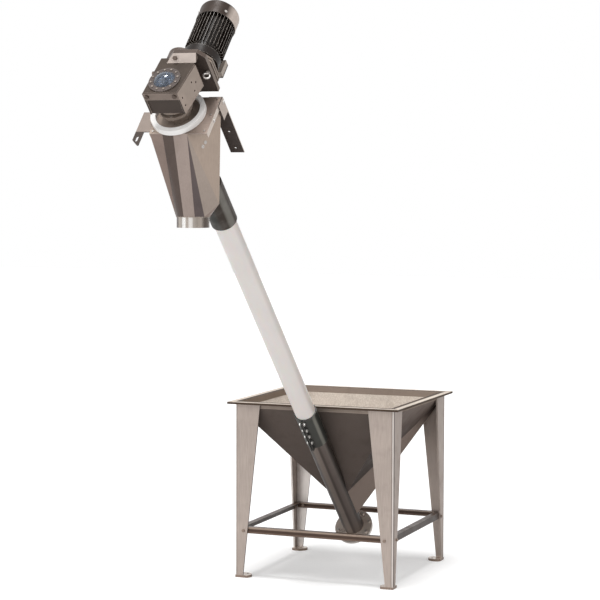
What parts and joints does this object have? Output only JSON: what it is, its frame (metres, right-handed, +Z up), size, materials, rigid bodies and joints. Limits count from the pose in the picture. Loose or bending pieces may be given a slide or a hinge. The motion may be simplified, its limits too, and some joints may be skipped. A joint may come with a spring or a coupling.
{
  "type": "flexible screw conveyor",
  "caption": "Inclined flexible screw conveyor: a square floor hopper on angle legs feeds a plastic tube with a turning spiral, and a geared motor sits on the discharge head.",
  "frame": {"origin": "middle of the four foot pads, on the floor", "axes": "+Z up; the conveyor rises towards -Y in the plane X = 0; +X is to the right when the hopper is seen from the discharge side"},
  "size_m": [1.016, 2.9648, 3.1277],
  "materials": {
    "sheet": "bead-blasted stainless sheet",
    "rail": "rolled stainless angle",
    "foot": "mill finish",
    "fastener": "zinc plated",
    "pipe": "brushed",
    "gasket": "matte",
    "cover_white": "satin",
    "tube_white": "smooth, slightly translucent",
    "coupling": "dark grey, satin",
    "sleeve": "dark grey, satin",
    "ring_white": "satin",
    "drive_casting": "machined and painted",
    "box_light": "painted",
    "box_dark": "painted",
    "gear_casting": "painted cast surface",
    "motor_casting": "painted cast fins",
    "cowl": "satin paint on sheet",
    "winding": "laminated core",
    "shaft_steel": "ground",
    "bearing": "polished",
    "fan_plastic": "moulded",
    "screw_steel": "spring steel",
    "clear_plastic": "clear"
  },
  "bodies": {
    "frame": {"hopper_shell": "sheet", "leg_front_left": "sheet", "leg_front_right": "sheet", "leg_back_right": "sheet", "leg_back_left": "sheet", "foot_pads": "foot", "rail_front": "rail", "rail_right": "rail", "rail_back": "rail", "rail_left": "rail", "rail_bolts": "fastener", "inlet_tube": "pipe", "inlet_flange": "pipe", "inlet_gasket": "gasket", "end_cover": "cover_white", "cover_bolts": "fastener", "lower_clamp": "coupling", "clamp_bolts": "fastener", "clamp_liner": "gasket", "conveyor_tube": "tube_white", "upper_sleeve": "sleeve", "discharge_housing": "sheet", "discharge_stub": "pipe", "discharge_spigot": "pipe", "drive_plate": "sheet", "plate_screws": "fastener", "shaft_seal": "gasket", "collar_ring": "ring_white", "drive_flange": "drive_casting", "drive_flange_bolts": "fastener", "gearbox_housing": "gear_casting", "shaft_cover_ring": "gear_casting", "shaft_cover_screws": "fastener", "shaft_cover": "clear_plastic", "helical_case": "gear_casting", "motor_flange": "drive_casting", "lifting_eye": "fastener", "adapter_plate": "drive_casting", "adapter_neck": "drive_casting", "gear_bolts": "fastener", "terminal_box": "box_light", "terminal_lid": "box_dark", "cable_gland": "box_dark", "motor_body": "motor_casting", "motor_end_shield": "motor_casting", "fan_cowl": "cowl", "stator": "winding", "motor_bearings": "bearing", "layshaft_bearings": "bearing", "output_bearings": "bearing", "bracket_left": "sheet", "bracket_right": "sheet"},
    "screw_line": {"flexible_screw": "screw_steel", "screw_coupler": "shaft_steel", "drive_shaft": "shaft_steel", "output_shaft": "shaft_steel", "bevel_wheel": "shaft_steel"},
    "layshaft_line": {"layshaft": "shaft_steel"},
    "motor_rotor": {"rotor": "shaft_steel", "fan": "fan_plastic"}
  },
  "joints": [
    {"name": "screw_spin", "type": "hinge", "parent": "frame", "child": "screw_line", "pos_m": [0, 0.223, 0.19], "axis": [0, -0.7193, 0.6947], "continuous": true},
    {"name": "layshaft_spin", "type": "hinge", "parent": "frame", "child": "layshaft_line", "pos_m": [0, -2.35008, 2.67479], "axis": [0, 0.6947, 0.7193], "continuous": true},
    {"name": "motor_spin", "type": "hinge", "parent": "frame", "child": "motor_rotor", "pos_m": [0.04, -2.28606, 2.61297], "axis": [0, 0.6947, 0.7193], "continuous": true}
  ],
  "couplings": [
    {"joint": "layshaft_spin", "follows": "screw_spin", "ratio": -3},
    {"joint": "motor_spin", "follows": "screw_spin", "ratio": 4.5}
  ]
}
